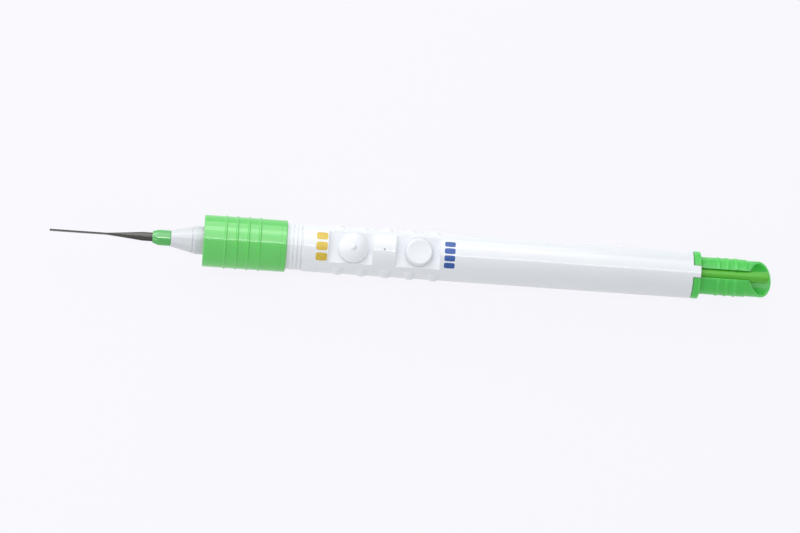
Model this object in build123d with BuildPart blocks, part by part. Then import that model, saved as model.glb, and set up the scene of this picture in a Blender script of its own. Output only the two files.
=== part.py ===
from build123d import *
import math
import os

# Electrosurgical pencil with a smoke nozzle, lying with its buttons up, in millimetres
# +X runs from the blade's tip to the rear port, and +Z points out of the buttons
# Stations run along the pencil's axis from the nozzle collar's front face
# Heights and radii are measured from that axis

# Fits: gaps on the radius, or between two faces
slide_fit = 0.08
shank_fit = 0.03
seat_fit = 0.05
stem_fit = 0.15
stop_gap = 0.1
seam_gap = 0.1
overlap = 0.3

# Blade electrode, forged flat at one end of a round shank
electrode_reach = 41.5
shank_radius = 1.19
shank_chamfer = 0.4
blade_length = 15.3
blade_width = 2.6
blade_thickness = 0.42
forged_taper = 9.7

# Hexagonal sleeve on the electrode
sleeve_length = 4.95
sleeve_corner_radius = 2.2
sleeve_bevel = 1.8
sleeve_bevel_radius = 1.55
sleeve_spigot_radius = 1.65
sleeve_spigot_length = 9.7

# Nose that carries the electrode in the middle of the smoke inlet
nose_reach = 8.75
nose_tip_radius = 2.25
nose_radius = 3.8
nose_taper = 6.55
nose_ring_offset = 0.7
nose_ring_width = 0.24
nose_ring_depth = 0.12
nose_stem_radius = 3.0
nose_stem_tail = 1.5
vane_count = 4
vane_thickness = 0.9
hoop_length = 4.8
hoop_wall = 0.45
hoop_depth = 0.4
hoop_setback = 2.7

# Split socket that grips the shank and stands out behind the nose
socket_wall = 0.58
socket_reach = 6.65
socket_tail = 0.6
slit_width = 0.4
slit_length = 9.0

# Nozzle collar that slides on the neck
collar_length = 22.4
collar_wall = 0.72
collar_relief = 0.22
collar_lip = 2.0
collar_edge = 0.3
collar_line_offset = 1.4
collar_line_width = 0.2
collar_line_depth = 0.08
bead_count = 4
bead_first = 5.9
bead_pitch = 3.07
bead_width = 0.7
bead_height = 0.25
bead_root = 0.2

# Housing in two shells
housing_radius = 6.4
housing_wall = 1.1
housing_edge = 0.15
housing_length = 105.9
neck_step = 0.2
neck_wall = 1.3
neck_exposed = 4.3
neck_cover = 9.1
neck_groove_count = 4
neck_groove_pitch = 1.1
neck_groove_width = 0.4
neck_groove_depth = 0.25
snap_height = 0.22
snap_width = 1.0
bore_setback = 1.0
lip_height = 0.6
lip_thickness = 0.55
lip_margin = 0.8
floor_rib_offset = 2.0
floor_rib_width = 1.2
floor_rib_height = 2.0

# Grip nubs along both sides
nub_count = 5
nub_offset = 9.75
nub_pitch = 6.5
nub_length = 2.2
nub_half_height = 3.7
nub_shoulder_height = 2.3
nub_proud = 0.36
nub_sink = 0.12

# Button pads, the deck below them and the bridge between them
pad_drop = 1.65
pad_offset = 6.95
pad_length = 12.0
bridge_length = 6.2
deck_thickness = 1.2
deck_margin = 1.3
pit_radius = 0.28
pit_depth = 0.6

# Buttons on split stems
cut_shift = 0.7
coag_shift = 0.3
button_travel = 0.5
button_gap = 0.2
button_rim = 0.2
stem_radius = 1.6
barb_overhang = 0.35
barb_height = 0.7
plunger_radius = 1.2
plunger_gap = 0.05
stem_slot_width = 0.6
stem_slot_rise = 1.0
cut_cap_radius = 4.05
cut_cap_side = 0.5
cut_cap_ledge = 0.22
cut_cap_crown = 0.85
cut_nub_radius = 0.9
cut_nub_height = 0.38
coag_cap_radius = 3.85
coag_top_radius = 3.5
coag_cap_height = 1.4
coag_edge = 0.25
coag_dish = 0.15

# Switch board, snap domes and spacer
board_thickness = 0.8
board_side_gap = 0.8
board_gap = 1.55
board_tail = 3.3
board_corner = 0.8
ledge_depth = 1.5
ledge_overlap = 0.7
ledge_length = 3.0
post_width = 1.0
dome_radius = 2.5
dome_height = 0.6
dome_thickness = 0.12
dome_foot_width = 0.3
spacer_thickness = 0.2
spacer_margin = 1.2

# Wires and power lead
wire_radius = 0.45
wire_gap = 0.02
wire_pitch = 1.3
wire_solder = 1.6
wire_bundle_radius = 0.6
wire_straight = 8.0
socket_wire_run = 3.6
lead_radius = 1.5
lead_gap = 0.4
lead_edge = 0.15
lead_setback = 1.95
lead_front_tail = 1.5
ferrule_length = 5.0
ferrule_wall = 0.6
lead_rib_thickness = 1.2
lead_rib_setback = 1.9

# Rear port for the smoke hose
flange_gap = 0.15
flange_thickness = 1.95
flange_edge = 0.25
spigot_length = 5.8
spigot_wall = 1.15
port_neck_radius = 5.05
port_neck_length = 12.6
port_tip_length = 7.9
port_tip_step = 0.2
mouth_run = 7.6
mouth_edge = 0.2
slot_width = 2.55
tongue_width = 3.2
tongue_inset = 0.1
tongue_root = 1.0
tongue_fit = 0.1
port_rib_count = 3
port_rib_first = 4.9
port_rib_pitch = 2.4
port_rib_width = 1.0
port_rib_height = 0.2
port_rib_root = 0.3

# Stations
tip = -electrode_reach
nose_front = -nose_reach
neck_front = collar_length - neck_cover
hoop_front = neck_front + hoop_setback
hoop_back = hoop_front + hoop_length
nose_stem_back = hoop_back + nose_stem_tail
socket_back = nose_stem_back + socket_reach
shank_end = socket_back - socket_tail
housing_start = collar_length + neck_exposed
housing_end = housing_start + housing_length
bore_start = housing_start + bore_setback
flange_front = housing_end + flange_gap
port_neck_start = flange_front + flange_thickness
tongue_end = port_neck_start - tongue_inset
port_tip_start = port_neck_start + port_neck_length
rear_end = port_tip_start + port_tip_length
mid_station = (tip + rear_end) / 2

# Radii
bore_radius = housing_radius - housing_wall
neck_radius = housing_radius - neck_step
neck_bore = neck_radius - neck_wall
snap_radius = neck_radius + snap_height
collar_lip_radius = neck_radius + slide_fit
collar_bore = collar_lip_radius + collar_relief
collar_radius = collar_lip_radius + collar_wall
axis_height = collar_radius + bead_height

# Planes: the upright section through the axis, a cut across the axis, and a level cut
section = Plane(origin=(-mid_station, 0, axis_height), x_dir=(1, 0, 0), z_dir=(0, -1, 0))
centre_line = Axis((0, 0, axis_height), (1, 0, 0))


def across(station):
    """Plane across the pencil at a station, with X to the side and Y up."""
    return Plane(origin=(station - mid_station, 0, axis_height), x_dir=(0, 1, 0), z_dir=(1, 0, 0))


def level(height):
    """Level plane at a height from the axis, with X as the station and Y to the side."""
    return Plane(origin=(-mid_station, 0, axis_height + height))


def upright(station, side=0.0):
    """Upright plane along the pencil with its origin on the axis at a station, moved to a side."""
    return Plane(origin=(station - mid_station, side, axis_height), x_dir=(1, 0, 0), z_dir=(0, -1, 0))


def post_axis(station, side=0.0):
    """Vertical axis at a station and a side."""
    return Axis((station - mid_station, side, 0), (0, 0, 1))


def at(station, side, height):
    """Point in the pencil's frame from its station, side and height."""
    return Vector(station - mid_station, side, axis_height + height)


def cap_radius(half_width, rise):
    """Radius of the sphere whose cap has this half width and rise."""
    return (half_width**2 + rise**2) / (2 * rise)


def cap_height(half_width, rise, distance):
    """Height of a round cap over its rim, at a distance from its middle."""
    sphere = cap_radius(half_width, rise)
    return math.sqrt(sphere**2 - distance**2) - sphere + rise


def bend_radii(points):
    """Largest bend at each corner of a route that its two runs leave room for."""
    radii = []
    for before, corner, after in zip(points, points[1:], points[2:]):
        turn = (corner - before).get_angle(after - corner)
        run = min((corner - before).length, (after - corner).length)
        radii.append(0.45 * run / math.tan(math.radians(turn) / 2))
    return radii


os.makedirs("parts", exist_ok=True)

# Blade electrode: round shank, forged taper and a thin blade with a rounded tip
blade_end = tip + blade_length
taper_end = blade_end + forged_taper
with BuildPart() as blade_electrode:
    with BuildSketch(across(taper_end)):
        Circle(shank_radius)
    extrude(amount=shank_end - taper_end)
    chamfer(blade_electrode.faces().sort_by(Axis.X)[-1].edges(), shank_chamfer)
    with BuildSketch(across(taper_end)):
        Circle(shank_radius)
    with BuildSketch(across(blade_end)):
        Ellipse(blade_thickness / 2, blade_width / 2)
    loft()
    with BuildSketch(across(blade_end)):
        Ellipse(blade_thickness / 2, blade_width / 2)
    extrude(amount=-blade_length)
    with BuildSketch(section):
        with Locations((tip + blade_width / 2, 0)):
            Circle(blade_width / 2)
            Rectangle(electrode_reach + shank_end, blade_width, align=(Align.MIN, Align.CENTER))
    extrude(amount=blade_width, both=True, mode=Mode.INTERSECT)
blade_electrode.part.label = "blade_electrode"
export_step(blade_electrode.part, "parts/blade_electrode.step")

# Electrode sleeve: a bevelled hexagon with a round spigot that enters the nose
sleeve_back = nose_front - seat_fit
sleeve_front = sleeve_back - sleeve_length
sleeve_spigot_end = sleeve_back + sleeve_spigot_length
with BuildPart() as electrode_sleeve:
    with BuildSketch(across(sleeve_front)):
        RegularPolygon(sleeve_corner_radius, 6)
    extrude(amount=sleeve_length)
    with BuildSketch(section):
        with BuildLine():
            Polyline(
                (sleeve_front, 0),
                (sleeve_front, sleeve_bevel_radius),
                (sleeve_front + sleeve_bevel, sleeve_corner_radius),
                (sleeve_back, sleeve_corner_radius),
                (sleeve_back, 0),
                close=True,
            )
        make_face()
    revolve(axis=centre_line, mode=Mode.INTERSECT)
    with BuildSketch(across(sleeve_back)):
        Circle(sleeve_spigot_radius)
    extrude(amount=sleeve_spigot_length)
    with BuildSketch(across(sleeve_front)):
        Circle(shank_radius + shank_fit)
    extrude(amount=sleeve_spigot_end - sleeve_front, mode=Mode.SUBTRACT)
electrode_sleeve.part.label = "electrode_sleeve"
export_step(electrode_sleeve.part, "parts/electrode_sleeve.step")

# Nose: a cone and stem on the axis, held in the neck by four vanes and a hoop
nose_shoulder = nose_front + nose_taper
nose_slope = (nose_radius - nose_tip_radius) / nose_taper
nose_ring = nose_shoulder - nose_ring_offset
hoop_radius = neck_bore + hoop_depth
socket_radius = shank_radius + shank_fit + socket_wall
socket_front = sleeve_spigot_end + seat_fit
with BuildPart() as nose_cone:
    with BuildSketch(section):
        with BuildLine():
            Polyline(
                (nose_front, 0),
                (nose_front, nose_tip_radius),
                (nose_shoulder, nose_radius),
                (neck_front, nose_radius),
                (hoop_front, nose_stem_radius),
                (nose_stem_back, nose_stem_radius),
                (nose_stem_back, 0),
                close=True,
            )
        make_face()
    revolve(axis=centre_line)
    with BuildSketch(section):
        with Locations((nose_ring, nose_radius - nose_slope * nose_ring_offset)):
            Rectangle(nose_ring_width, 2 * nose_ring_depth)
    revolve(axis=centre_line, mode=Mode.SUBTRACT)
    with BuildSketch(across(hoop_front + seat_fit)):
        Circle(hoop_radius - seat_fit)
        Circle(hoop_radius - seat_fit - hoop_wall, mode=Mode.SUBTRACT)
        with PolarLocations((nose_stem_radius + hoop_radius - hoop_wall) / 2, vane_count, start_angle=45):
            Rectangle(hoop_radius - hoop_wall - nose_stem_radius + overlap, vane_thickness)
    extrude(amount=hoop_length - 2 * seat_fit)
    with BuildSketch(section):
        with BuildLine():
            Polyline(
                (nose_front, 0),
                (nose_front, sleeve_spigot_radius + seat_fit),
                (socket_front, sleeve_spigot_radius + seat_fit),
                (socket_front, socket_radius + seat_fit),
                (nose_stem_back, socket_radius + seat_fit),
                (nose_stem_back, 0),
                close=True,
            )
        make_face()
    revolve(axis=centre_line, mode=Mode.SUBTRACT)
nose_cone.part.label = "nose_cone"
export_step(nose_cone.part, "parts/nose_cone.step")

# Electrode socket: a brass tube slit into four spring fingers at its mouth
socket_mouth = socket_front + seat_fit
with BuildPart() as electrode_socket:
    with BuildSketch(across(socket_mouth)):
        Circle(socket_radius)
        Circle(shank_radius + shank_fit, mode=Mode.SUBTRACT)
    extrude(amount=socket_back - socket_mouth)
    with BuildSketch(across(socket_mouth)):
        Rectangle(3 * socket_radius, slit_width)
        Rectangle(slit_width, 3 * socket_radius)
    extrude(amount=slit_length, mode=Mode.SUBTRACT)
electrode_socket.part.label = "electrode_socket"
export_step(electrode_socket.part, "parts/electrode_socket.step")

# Nozzle collar: a thin sleeve with four grip beads and an inner lip that runs on the neck
beads = [bead_first + i * bead_pitch for i in range(bead_count)]
with BuildPart() as front_collar:
    with BuildSketch(section):
        with BuildLine():
            Polyline(
                (0, collar_bore),
                (0, collar_radius),
                (collar_length, collar_radius),
                (collar_length, collar_lip_radius),
                (collar_length - collar_lip, collar_lip_radius),
                (collar_length - collar_lip, collar_bore),
                close=True,
            )
        make_face()
    revolve(axis=centre_line)
    collar_rims = front_collar.edges().filter_by(GeomType.CIRCLE).group_by(SortBy.RADIUS)[-1]
    fillet(collar_rims, collar_edge)
    with BuildSketch(section):
        for bead in beads:
            with BuildLine():
                ThreePointArc(
                    (bead - bead_width / 2, collar_radius),
                    (bead, collar_radius + bead_height),
                    (bead + bead_width / 2, collar_radius),
                )
                Polyline(
                    (bead + bead_width / 2, collar_radius),
                    (bead + bead_width / 2, collar_radius - bead_root),
                    (bead - bead_width / 2, collar_radius - bead_root),
                    (bead - bead_width / 2, collar_radius),
                )
            make_face()
    revolve(axis=centre_line)
    with BuildSketch(section):
        with Locations((collar_length - collar_line_offset, collar_radius)):
            Rectangle(collar_line_width, 2 * collar_line_depth)
    revolve(axis=centre_line, mode=Mode.SUBTRACT)
front_collar.part.label = "front_collar"
export_step(front_collar.part, "parts/front_collar.step")

# Housing blank: ringed neck, plain barrel, grip nubs and smoke bore, before it is parted into shells
neck_grooves = [housing_start - (i + 0.2) * neck_groove_pitch for i in range(neck_groove_count)]
nub_radius = cap_radius(nub_length / 2, nub_proud)
nub_side = housing_radius + nub_proud - nub_radius
nub_end_radius = math.sqrt(housing_radius**2 - nub_half_height**2) - nub_side - nub_sink
nub_shoulder_radius = math.sqrt(housing_radius**2 - nub_shoulder_height**2) - nub_side + nub_proud
shell_width = 2 * (housing_radius + nub_proud + overlap)
nub_stations = [housing_start + nub_offset + i * nub_pitch for i in range(nub_count)]
with BuildPart() as housing_blank:
    with BuildSketch(section):
        with BuildLine():
            Polyline(
                (neck_front, 0),
                (neck_front, snap_radius - housing_edge),
                (neck_front + housing_edge, snap_radius),
                (neck_front + snap_width, snap_radius),
                (neck_front + snap_width, neck_radius),
                (housing_start, neck_radius),
                (housing_start, housing_radius - housing_edge),
                (housing_start + housing_edge, housing_radius),
                (housing_end - housing_edge, housing_radius),
                (housing_end, housing_radius - housing_edge),
                (housing_end, 0),
                close=True,
            )
        make_face()
    revolve(axis=centre_line)
    with BuildSketch(section):
        with Locations(*[(station, neck_radius) for station in neck_grooves]):
            Rectangle(neck_groove_width, 2 * neck_groove_depth)
    revolve(axis=centre_line, mode=Mode.SUBTRACT)
    for station in nub_stations:
        for side in (-nub_side, nub_side):
            with BuildSketch(upright(station, side)):
                with BuildLine():
                    ThreePointArc(
                        (nub_shoulder_radius, -nub_shoulder_height),
                        (nub_radius, 0),
                        (nub_shoulder_radius, nub_shoulder_height),
                    )
                    Polyline(
                        (nub_shoulder_radius, nub_shoulder_height),
                        (nub_end_radius, nub_half_height),
                        (0, nub_half_height),
                        (0, -nub_half_height),
                        (nub_end_radius, -nub_half_height),
                        (nub_shoulder_radius, -nub_shoulder_height),
                    )
                make_face()
            revolve(axis=post_axis(station, side))
    with BuildSketch(section):
        with BuildLine():
            Polyline(
                (neck_front, 0),
                (neck_front, neck_bore),
                (hoop_front, neck_bore),
                (hoop_front, hoop_radius),
                (hoop_back, hoop_radius),
                (hoop_back, neck_bore),
                (bore_start, neck_bore),
                (bore_start, bore_radius),
                (housing_end, bore_radius),
                (housing_end, 0),
                close=True,
            )
        make_face()
    revolve(axis=centre_line, mode=Mode.SUBTRACT)

# Heights of the pads, the deck and the switch stack
pad_height = housing_radius - pad_drop
deck_under = pad_height - deck_thickness
board_top = lip_height + board_thickness
dome_top = board_top + dome_height
board_half = math.sqrt(bore_radius**2 - board_top**2) - board_side_gap

# Stations of the pads, buttons, board and lead supports
pad_start = housing_start + pad_offset
cut_pad = pad_start + pad_length / 2
coag_pad = cut_pad + pad_length + bridge_length
pad_stations = (cut_pad, coag_pad)
bridge_station = (cut_pad + coag_pad) / 2
cut_station = cut_pad + cut_shift
coag_station = coag_pad + coag_shift
button_stations = (cut_station, coag_station)
deck_front = pad_start - deck_margin
deck_back = coag_pad + pad_length / 2 + deck_margin
ledge_stations = (deck_front + ledge_length / 2, bridge_station, deck_back - ledge_length / 2)
board_front = socket_back + board_gap
board_back = deck_back + board_tail
spigot_front = housing_end - spigot_length
lead_height = bore_radius - lead_gap - lead_radius
rear_rib_front = spigot_front - lead_rib_setback - lead_rib_thickness
ferrule_front = rear_rib_front - stop_gap - ferrule_length
front_rib_front = ferrule_front - stop_gap - lead_rib_thickness
lead_front = front_rib_front - lead_front_tail
lip_radius = bore_radius + lip_thickness
lip_start = bore_start + lip_margin
lip_length = housing_end - lip_margin - lip_start

# Upper shell: pads and deck for the buttons, posts on the board, lead ribs and the tongue at the rear
with BuildPart() as upper_shell:
    add(housing_blank.part)
    with BuildSketch(level(seam_gap / 2)):
        with Locations((neck_front - overlap, 0)):
            Rectangle(housing_end - neck_front + 2 * overlap, shell_width, align=(Align.MIN, Align.CENTER))
    extrude(amount=shell_width, mode=Mode.INTERSECT)
    with BuildSketch(across(lip_start - seam_gap)):
        Circle(lip_radius + seam_gap)
        Rectangle(2 * housing_radius, 2 * (lip_height + seam_gap), mode=Mode.INTERSECT)
    extrude(amount=lip_length + 2 * seam_gap, mode=Mode.SUBTRACT)
    with BuildSketch(across(deck_front)):
        Circle(bore_radius + overlap)
        with Locations((0, deck_under)):
            Rectangle(
                2 * housing_radius, housing_radius, align=(Align.CENTER, Align.MIN), mode=Mode.INTERSECT
            )
    extrude(amount=deck_back - deck_front)
    with BuildSketch(level(pad_height)):
        with Locations(*[(station, 0) for station in pad_stations]):
            Rectangle(pad_length, 2 * housing_radius)
    extrude(amount=housing_radius, mode=Mode.SUBTRACT)
    with BuildSketch(level(pad_height)):
        with Locations(*[(station, 0) for station in button_stations]):
            Circle(stem_radius + stem_fit)
    extrude(amount=-2 * deck_thickness, mode=Mode.SUBTRACT)
    with BuildSketch(level(deck_under + overlap)):
        for side in (-1, 1):
            with Locations(*[(station, side * (board_half - post_width / 2)) for station in ledge_stations]):
                Rectangle(ledge_length, post_width)
    extrude(amount=board_top + seat_fit - deck_under - overlap)
    with BuildSketch(level(housing_radius - pit_depth)):
        with Locations((bridge_station, 0)):
            Circle(pit_radius)
    extrude(amount=2 * pit_depth, mode=Mode.SUBTRACT)
    for station in (front_rib_front, rear_rib_front):
        with BuildSketch(across(station)):
            Circle(bore_radius + overlap)
            with Locations((0, lead_height - lead_radius)):
                Rectangle(
                    2 * housing_radius, housing_radius, align=(Align.CENTER, Align.MIN), mode=Mode.INTERSECT
                )
            with Locations((0, lead_height)):
                Circle(lead_radius + seat_fit, mode=Mode.SUBTRACT)
                Rectangle(
                    2 * (lead_radius + seat_fit),
                    2 * lead_radius,
                    align=(Align.CENTER, Align.MAX),
                    mode=Mode.SUBTRACT,
                )
        extrude(amount=lead_rib_thickness)
    with BuildSketch(across(ferrule_front - stop_gap)):
        with Locations((0, lead_height)):
            Circle(lead_radius + ferrule_wall + seat_fit)
    extrude(amount=ferrule_length + 2 * stop_gap, mode=Mode.SUBTRACT)
    with BuildSketch(across(housing_end - tongue_root)):
        Circle(housing_radius)
        Circle(bore_radius, mode=Mode.SUBTRACT)
        Rectangle(tongue_width, housing_radius, align=(Align.CENTER, Align.MIN), mode=Mode.INTERSECT)
    extrude(amount=tongue_end - housing_end + tongue_root)
upper_shell.part.label = "upper_shell"
export_step(upper_shell.part, "parts/upper_shell.step")

# Lower shell: seam lip, board ledges and floor ribs
with BuildPart() as lower_shell:
    add(housing_blank.part)
    with BuildSketch(level(-seam_gap / 2)):
        with Locations((neck_front - overlap, 0)):
            Rectangle(housing_end - neck_front + 2 * overlap, shell_width, align=(Align.MIN, Align.CENTER))
    extrude(amount=-shell_width, mode=Mode.INTERSECT)
    with BuildSketch(across(lip_start)):
        Circle(lip_radius)
        Circle(bore_radius, mode=Mode.SUBTRACT)
        Rectangle(2 * housing_radius, 2 * lip_height, mode=Mode.INTERSECT)
    extrude(amount=lip_length)
    for station in ledge_stations:
        with BuildSketch(across(station - ledge_length / 2)):
            Circle(lip_radius)
            with Locations((0, lip_height)):
                Rectangle(
                    2 * housing_radius,
                    lip_height + ledge_depth,
                    align=(Align.CENTER, Align.MAX),
                    mode=Mode.INTERSECT,
                )
            Rectangle(2 * (board_half - ledge_overlap), 2 * housing_radius, mode=Mode.SUBTRACT)
        extrude(amount=ledge_length)
    with BuildSketch(across(lip_start)):
        for side in (-floor_rib_offset, floor_rib_offset):
            with Locations((side, -bore_radius - overlap)):
                Rectangle(floor_rib_width, floor_rib_height + overlap, align=(Align.CENTER, Align.MIN))
        Circle(bore_radius + overlap, mode=Mode.INTERSECT)
    extrude(amount=spigot_front - stop_gap - lip_start)
lower_shell.part.label = "lower_shell"
export_step(lower_shell.part, "parts/lower_shell.step")

# Button heights
cap_under = pad_height + button_travel + button_gap
barb_top = deck_under - stop_gap
barb_foot = barb_top - barb_height
plunger_foot = dome_top + plunger_gap
slot_top = barb_top + stem_slot_rise
barb_radius = stem_radius + barb_overhang
stem_profile = [
    (0, plunger_foot),
    (plunger_radius, plunger_foot),
    (plunger_radius, barb_foot),
    (barb_radius, barb_top - stop_gap),
    (barb_radius, barb_top),
    (stem_radius, barb_top),
    (stem_radius, cap_under),
]

# Cut button: a low round dome with a nub in its middle, on a split stem
cut_side_top = cap_under + cut_cap_side
cut_crown_half = cut_cap_radius - cut_cap_ledge
cut_crown_mid = cut_crown_half / 2
cut_nub_mid = cut_nub_radius / 2
cut_nub_foot = cut_side_top + cap_height(cut_crown_half, cut_cap_crown, cut_nub_radius)
with BuildPart() as cut_button:
    with BuildSketch(upright(cut_station)):
        with BuildLine():
            Polyline(
                *stem_profile,
                (cut_cap_radius - button_rim, cap_under),
                (cut_cap_radius, cap_under + button_rim),
                (cut_cap_radius, cut_side_top),
                (cut_crown_half, cut_side_top),
            )
            ThreePointArc(
                (cut_crown_half, cut_side_top),
                (cut_crown_mid, cut_side_top + cap_height(cut_crown_half, cut_cap_crown, cut_crown_mid)),
                (cut_nub_radius, cut_nub_foot),
            )
            ThreePointArc(
                (cut_nub_radius, cut_nub_foot),
                (cut_nub_mid, cut_nub_foot + cap_height(cut_nub_radius, cut_nub_height, cut_nub_mid)),
                (0, cut_nub_foot + cut_nub_height),
            )
            Line((0, cut_nub_foot + cut_nub_height), (0, plunger_foot))
        make_face()
    revolve(axis=post_axis(cut_station))
    with BuildSketch(level(plunger_foot)):
        with Locations((cut_station, 0)):
            Rectangle(stem_slot_width, 3 * barb_radius)
    extrude(amount=slot_top - plunger_foot, mode=Mode.SUBTRACT)
cut_button.part.label = "cut_button"
export_step(cut_button.part, "parts/cut_button.step")

# Coag button: a taller drum with a shallow dish in its top, on a split stem
coag_top = cap_under + coag_cap_height
coag_dish_radius = coag_top_radius - coag_edge
coag_dish_mid = coag_dish_radius / 2
with BuildPart() as coag_button:
    with BuildSketch(upright(coag_station)):
        with BuildLine():
            Polyline(
                *stem_profile,
                (coag_cap_radius - button_rim, cap_under),
                (coag_cap_radius, cap_under + button_rim),
                (coag_top_radius, coag_top - coag_edge),
                (coag_dish_radius, coag_top),
            )
            ThreePointArc(
                (coag_dish_radius, coag_top),
                (coag_dish_mid, coag_top - cap_height(coag_dish_radius, coag_dish, coag_dish_mid)),
                (0, coag_top - coag_dish),
            )
            Line((0, coag_top - coag_dish), (0, plunger_foot))
        make_face()
    revolve(axis=post_axis(coag_station))
    with BuildSketch(level(plunger_foot)):
        with Locations((coag_station, 0)):
            Rectangle(stem_slot_width, 3 * barb_radius)
    extrude(amount=slot_top - plunger_foot, mode=Mode.SUBTRACT)
coag_button.part.label = "coag_button"
export_step(coag_button.part, "parts/coag_button.step")

# Switch board on the lower shell's ledges
with BuildPart() as switch_board:
    with BuildSketch(level(lip_height)):
        with Locations(((board_front + board_back) / 2, 0)):
            RectangleRounded(board_back - board_front, 2 * board_half, board_corner)
    extrude(amount=board_thickness)
switch_board.part.label = "switch_board"
export_step(switch_board.part, "parts/switch_board.step")

# Spacer sheet around the snap domes
spacer_front = cut_station - dome_radius - spacer_margin
spacer_back = coag_station + dome_radius + spacer_margin
spacer_half = board_half - post_width - seat_fit
with BuildPart() as dome_spacer:
    with BuildSketch(level(board_top)):
        with Locations(((spacer_front + spacer_back) / 2, 0)):
            Rectangle(spacer_back - spacer_front, 2 * spacer_half)
        with Locations(*[(station, 0) for station in button_stations]):
            Circle(dome_radius + seat_fit, mode=Mode.SUBTRACT)
    extrude(amount=spacer_thickness)
dome_spacer.part.label = "dome_spacer"
export_step(dome_spacer.part, "parts/dome_spacer.step")

# Snap domes: thin round caps of spring steel under the two stems
dome_hollow_radius = dome_radius - dome_foot_width
dome_hollow = dome_height - dome_thickness
dome_mid = dome_hollow_radius / 2
for dome_name, station in (("cut_dome", cut_station), ("coag_dome", coag_station)):
    with BuildPart() as snap_dome:
        with BuildSketch(upright(station)):
            with BuildLine():
                ThreePointArc(
                    (dome_radius, board_top),
                    (dome_mid, board_top + cap_height(dome_radius, dome_height, dome_mid)),
                    (0, dome_top),
                )
                Line((0, dome_top), (0, board_top + dome_hollow))
                ThreePointArc(
                    (0, board_top + dome_hollow),
                    (dome_mid, board_top + cap_height(dome_hollow_radius, dome_hollow, dome_mid)),
                    (dome_hollow_radius, board_top),
                )
                Line((dome_hollow_radius, board_top), (dome_radius, board_top))
            make_face()
        revolve(axis=post_axis(station))
    snap_dome.part.label = dome_name
    export_step(snap_dome.part, f"parts/{dome_name}.step")

# Wire from the board's front to the top of the socket
solder_height = board_top + wire_gap + wire_radius
socket_wire_height = socket_radius + wire_gap + wire_radius
socket_wire_route = [
    at(socket_back - socket_wire_run, 0, socket_wire_height),
    at(socket_back + board_gap / 3, 0, socket_wire_height),
    at(board_front, 0, solder_height),
    at(board_front + wire_solder, 0, solder_height),
]
with BuildPart() as socket_wire:
    with BuildLine() as socket_wire_line:
        FilletPolyline(*socket_wire_route, radius=bend_radii(socket_wire_route))
    with BuildSketch(Plane(socket_wire_line.line @ 0, z_dir=socket_wire_line.line % 0)):
        Circle(wire_radius)
    sweep()
socket_wire.part.label = "socket_wire"
export_step(socket_wire.part, "parts/socket_wire.step")

# Three wires from the board's rear to the front of the lead's jacket
wire_places = (("cut_wire", -1, 210), ("supply_wire", 0, 90), ("coag_wire", 1, 330))
for wire_name, row, angle in wire_places:
    bundle_side = wire_bundle_radius * math.cos(math.radians(angle))
    bundle_height = lead_height + wire_bundle_radius * math.sin(math.radians(angle))
    wire_route = [
        at(board_back - wire_solder, row * wire_pitch, solder_height),
        at(board_back + wire_straight, row * wire_pitch, solder_height),
        at((board_back + lead_front) / 2 + wire_straight, bundle_side, bundle_height),
        at(lead_front, bundle_side, bundle_height),
    ]
    with BuildPart() as board_wire:
        with BuildLine() as wire_line:
            FilletPolyline(*wire_route, radius=bend_radii(wire_route))
        with BuildSketch(Plane(wire_line.line @ 0, z_dir=wire_line.line % 0)):
            Circle(wire_radius)
        sweep()
    board_wire.part.label = wire_name
    export_step(board_wire.part, f"parts/{wire_name}.step")

# Power lead: straight under the tongue, along the port's slot and out over the slanted mouth
lead_end = rear_end - lead_setback
with BuildPart() as power_lead:
    with BuildSketch(across(lead_front)):
        with Locations((0, lead_height)):
            Circle(lead_radius)
    extrude(amount=lead_end - lead_front)
    chamfer(power_lead.faces().sort_by(Axis.X)[-1].edges(), lead_edge)
power_lead.part.label = "power_lead"
export_step(power_lead.part, "parts/power_lead.step")

# Ferrule crimped on the lead between the upper shell's two ribs
with BuildPart() as lead_ferrule:
    with BuildSketch(across(ferrule_front)):
        with Locations((0, lead_height)):
            Circle(lead_radius + ferrule_wall)
            Circle(lead_radius + wire_gap, mode=Mode.SUBTRACT)
    extrude(amount=ferrule_length)
lead_ferrule.part.label = "lead_ferrule"
export_step(lead_ferrule.part, "parts/lead_ferrule.step")

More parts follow.
